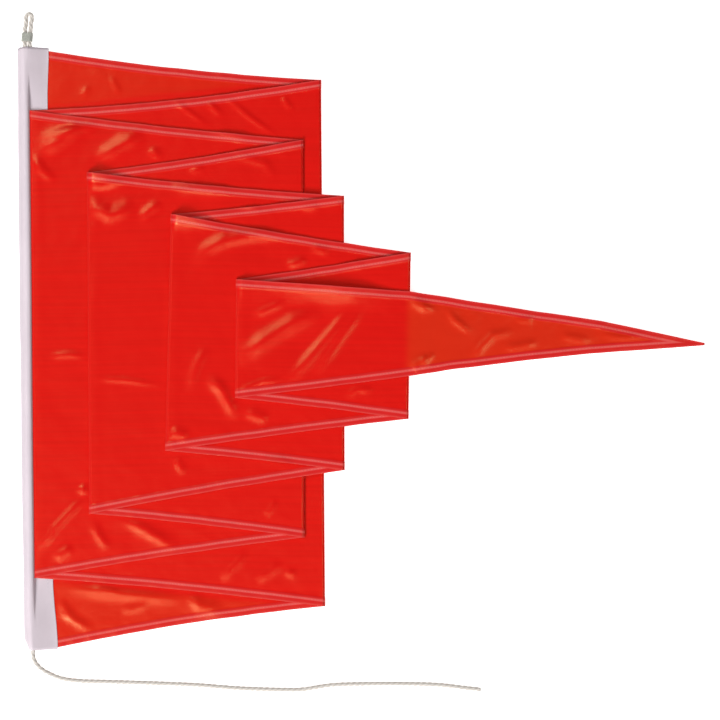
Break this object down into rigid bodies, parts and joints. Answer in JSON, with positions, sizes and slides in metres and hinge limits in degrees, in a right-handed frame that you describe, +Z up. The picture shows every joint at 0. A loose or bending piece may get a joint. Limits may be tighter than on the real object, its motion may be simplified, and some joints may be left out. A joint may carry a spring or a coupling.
{
  "type": "folded triangular pennant",
  "caption": "Long red triangular cloth pennant folded to and fro in a flat stack, with a pale canvas heading, a rope eye at the heading's top and a free rope tail at its foot.",
  "frame": {"origin": "on the surface that the pennant lies on, under the middle of its folded outline, leaving out the free tail", "axes": "+X along the fly from the heading towards the point, +Y up the hoist towards the rope eye, +Z up from the surface"},
  "size_m": [0.8592, 0.8617, 0.014],
  "materials": {
    "fly_cloth": "satin knitted polyester, fine ribs along the fly",
    "hem_cloth": "turned-over hem of the same cloth with stitch rows",
    "heading_canvas": "matt off-white canvas tape",
    "hoist_cord": "matt off-white laid cord",
    "binding_thread": "whipping thread, pale grey"
  },
  "bodies": {
    "hoist": {"heading_sleeve": "heading_canvas", "hoist_rope": "hoist_cord", "tail_line": "hoist_cord", "cloth_0": "fly_cloth", "hem_upper_0": "hem_cloth", "hem_lower_0": "hem_cloth"},
    "panel_1": {"cloth_1": "fly_cloth", "hem_upper_1": "hem_cloth", "hem_lower_1": "hem_cloth"},
    "panel_2": {"cloth_2": "fly_cloth", "hem_upper_2": "hem_cloth", "hem_lower_2": "hem_cloth"},
    "panel_3": {"cloth_3": "fly_cloth", "hem_upper_3": "hem_cloth", "hem_lower_3": "hem_cloth"},
    "panel_4": {"cloth_4": "fly_cloth", "hem_upper_4": "hem_cloth", "hem_lower_4": "hem_cloth"},
    "panel_5": {"cloth_5": "fly_cloth", "hem_upper_5": "hem_cloth", "hem_lower_5": "hem_cloth"},
    "panel_6": {"cloth_6": "fly_cloth", "hem_upper_6": "hem_cloth", "hem_lower_6": "hem_cloth"},
    "panel_7": {"cloth_7": "fly_cloth", "hem_upper_7": "hem_cloth", "hem_lower_7": "hem_cloth"},
    "panel_8": {"cloth_8": "fly_cloth", "hem_upper_8": "hem_cloth", "hem_lower_8": "hem_cloth"},
    "tip": {"cloth_tip": "fly_cloth", "hem_upper_tip": "hem_cloth", "hem_lower_tip": "hem_cloth", "tip_point": "hem_cloth"},
    "eye": {"rope_eye": "hoist_cord", "eye_seizing": "binding_thread"}
  },
  "joints": [
    {"name": "fold_1", "type": "hinge", "parent": "hoist", "child": "panel_1", "pos_m": [-0.05167, -0.02083, 0.0014], "axis": [0.0052, 1, 0], "range_deg": [0, 180]},
    {"name": "fold_2", "type": "hinge", "parent": "panel_1", "child": "panel_2", "pos_m": [-0.41625, -0.01701, 0.003], "axis": [-0.0035, -1, 0], "range_deg": [0, 180]},
    {"name": "fold_3", "type": "hinge", "parent": "panel_2", "child": "panel_3", "pos_m": [-0.07575, -0.01582, 0.0046], "axis": [0.0096, 1, 0], "range_deg": [0, 180]},
    {"name": "fold_4", "type": "hinge", "parent": "panel_3", "child": "panel_4", "pos_m": [-0.34468, -0.00972, 0.0062], "axis": [-0.0061, -1, 0], "range_deg": [0, 180]},
    {"name": "fold_5", "type": "hinge", "parent": "panel_4", "child": "panel_5", "pos_m": [-0.0247, -0.00637, 0.0078], "axis": [0.0105, 0.9999, 0], "range_deg": [0, 180]},
    {"name": "fold_6", "type": "hinge", "parent": "panel_5", "child": "panel_6", "pos_m": [-0.24359, 0.00051, 0.0094], "axis": [-0.0366, -0.9993, 0], "range_deg": [0, 180]},
    {"name": "fold_7", "type": "hinge", "parent": "panel_6", "child": "panel_7", "pos_m": [0.05715, -0.0121, 0.011], "axis": [0.0262, 0.9997, 0], "range_deg": [0, 180]},
    {"name": "fold_8", "type": "hinge", "parent": "panel_7", "child": "panel_8", "pos_m": [-0.15884, -0.00983, 0.0126], "axis": [-0.0209, -0.9998, 0], "range_deg": [0, 180]},
    {"name": "tip_bend", "type": "hinge", "parent": "panel_8", "child": "tip", "pos_m": [0.06905, -0.017, 0.0134], "axis": [-0.0314, -0.9995, 0], "range_deg": [0, 2.02]},
    {"name": "eye_lift", "type": "hinge", "parent": "hoist", "child": "eye", "pos_m": [-0.41847, 0.36247, 0.0037], "axis": [0.9945, -0.1045, 0], "range_deg": [0, 90]}
  ],
  "couplings": [
    {"joint": "fold_2", "follows": "fold_1", "ratio": 1},
    {"joint": "fold_3", "follows": "fold_1", "ratio": 1},
    {"joint": "fold_4", "follows": "fold_1", "ratio": 1},
    {"joint": "fold_5", "follows": "fold_1", "ratio": 1},
    {"joint": "fold_6", "follows": "fold_1", "ratio": 1},
    {"joint": "fold_7", "follows": "fold_1", "ratio": 1},
    {"joint": "fold_8", "follows": "fold_1", "ratio": 1},
    {"joint": "tip_bend", "follows": "fold_1", "ratio": 0.011201}
  ]
}
